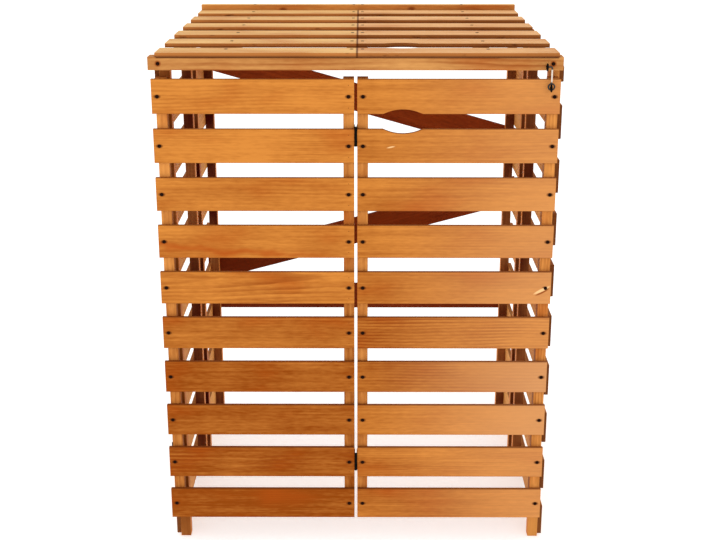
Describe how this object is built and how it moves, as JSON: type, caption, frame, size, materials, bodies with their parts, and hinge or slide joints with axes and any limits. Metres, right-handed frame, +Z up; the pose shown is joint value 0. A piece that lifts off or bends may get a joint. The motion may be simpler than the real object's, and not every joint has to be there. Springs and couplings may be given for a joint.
{
  "type": "wheelie bin store",
  "caption": "Open-slatted wooden wheelie bin store with a hinged slatted lid, folding front doors, a hook latch, slatted side walls and a braced open back.",
  "frame": {"origin": "middle of the footprint's bounding box, on the ground", "axes": "+Z up, +Y from the doors to the back, +X to the right seen from the doors"},
  "size_m": [0.9456, 0.8862, 1.2655],
  "materials": {
    "frame_wood": "rough-planed softwood with a semi-transparent orange-brown stain",
    "door_wood": "planed softwood with a semi-transparent orange-brown stain",
    "lid_wood": "planed softwood with a semi-transparent orange-brown stain",
    "wood_screws": "dark passivated steel",
    "hinges": "black, satin",
    "hinge_screws": "black, satin",
    "screw_eyes": "black, satin",
    "hook": "zinc-plated wire"
  },
  "bodies": {
    "frame": {"left_front_upright": "frame_wood", "left_front_mid_upright": "frame_wood", "left_rear_mid_upright": "frame_wood", "left_rear_upright": "frame_wood", "left_front_panel_boards": "frame_wood", "left_rear_panel_boards": "frame_wood", "left_wall_bottom_board": "frame_wood", "left_wall_top_board": "frame_wood", "left_wall_screws": "wood_screws", "right_front_upright": "frame_wood", "right_front_mid_upright": "frame_wood", "right_rear_mid_upright": "frame_wood", "right_rear_upright": "frame_wood", "right_front_panel_boards": "frame_wood", "right_rear_panel_boards": "frame_wood", "right_wall_bottom_board": "frame_wood", "right_wall_top_board": "frame_wood", "right_wall_screws": "wood_screws", "front_top_rail": "frame_wood", "back_top_rail": "frame_wood", "back_cross_board": "frame_wood", "back_falling_brace": "frame_wood", "back_rising_brace": "frame_wood", "rail_and_brace_screws": "wood_screws", "rail_screw_eye": "screw_eyes", "post_hinge_frame_plates": "hinges", "lid_hinge_frame_plates": "hinges", "frame_hinge_pins": "hinges", "frame_hinge_screws": "hinge_screws"},
    "left_leaf": {"left_leaf_boards": "door_wood", "left_leaf_outer_stile": "door_wood", "left_leaf_inner_stile": "door_wood", "left_leaf_screws": "wood_screws", "post_hinge_leaf_plates": "hinges", "fold_hinge_left_plates": "hinges", "left_leaf_hinge_pins": "hinges", "left_leaf_hinge_screws": "hinge_screws"},
    "right_leaf": {"right_leaf_boards": "door_wood", "right_leaf_top_board": "door_wood", "right_leaf_second_board": "door_wood", "right_leaf_outer_stile": "door_wood", "right_leaf_inner_stile": "door_wood", "right_leaf_screws": "wood_screws", "fold_hinge_right_plates": "hinges", "right_leaf_hinge_screws": "hinge_screws", "door_screw_eye": "screw_eyes"},
    "lid": {"lid_left_slats": "lid_wood", "lid_right_front_slat": "lid_wood", "lid_right_second_slat": "lid_wood", "lid_right_slats": "lid_wood", "lid_left_rear_rail": "lid_wood", "lid_right_rear_rail": "lid_wood", "lid_left_outer_batten": "lid_wood", "lid_left_seam_batten": "lid_wood", "lid_right_seam_batten": "lid_wood", "lid_right_outer_batten": "lid_wood", "lid_screws": "wood_screws", "lid_hinge_lid_plates": "hinges", "lid_hinge_screws": "hinge_screws"},
    "hook": {"latch_hook": "hook"}
  },
  "joints": [
    {"name": "left_leaf_hinge", "type": "hinge", "parent": "frame", "child": "left_leaf", "pos_m": [-0.46325, -0.38705, 0.6325], "axis": [0, 0, -1], "range_deg": [0, 100]},
    {"name": "fold_hinge", "type": "hinge", "parent": "left_leaf", "child": "right_leaf", "pos_m": [-0.00375, -0.42455, 0.6325], "axis": [0, 0, -1], "range_deg": [0, 170]},
    {"name": "lid_hinge", "type": "hinge", "parent": "frame", "child": "lid", "pos_m": [0, 0.43995, 1.2275], "axis": [-1, 0, 0], "range_deg": [0, 100]},
    {"name": "hook_swing", "type": "hinge", "parent": "right_leaf", "child": "hook", "pos_m": [0.43725, -0.43435, 1.17465], "axis": [0, 1, 0], "range_deg": [-8, 155]}
  ]
}
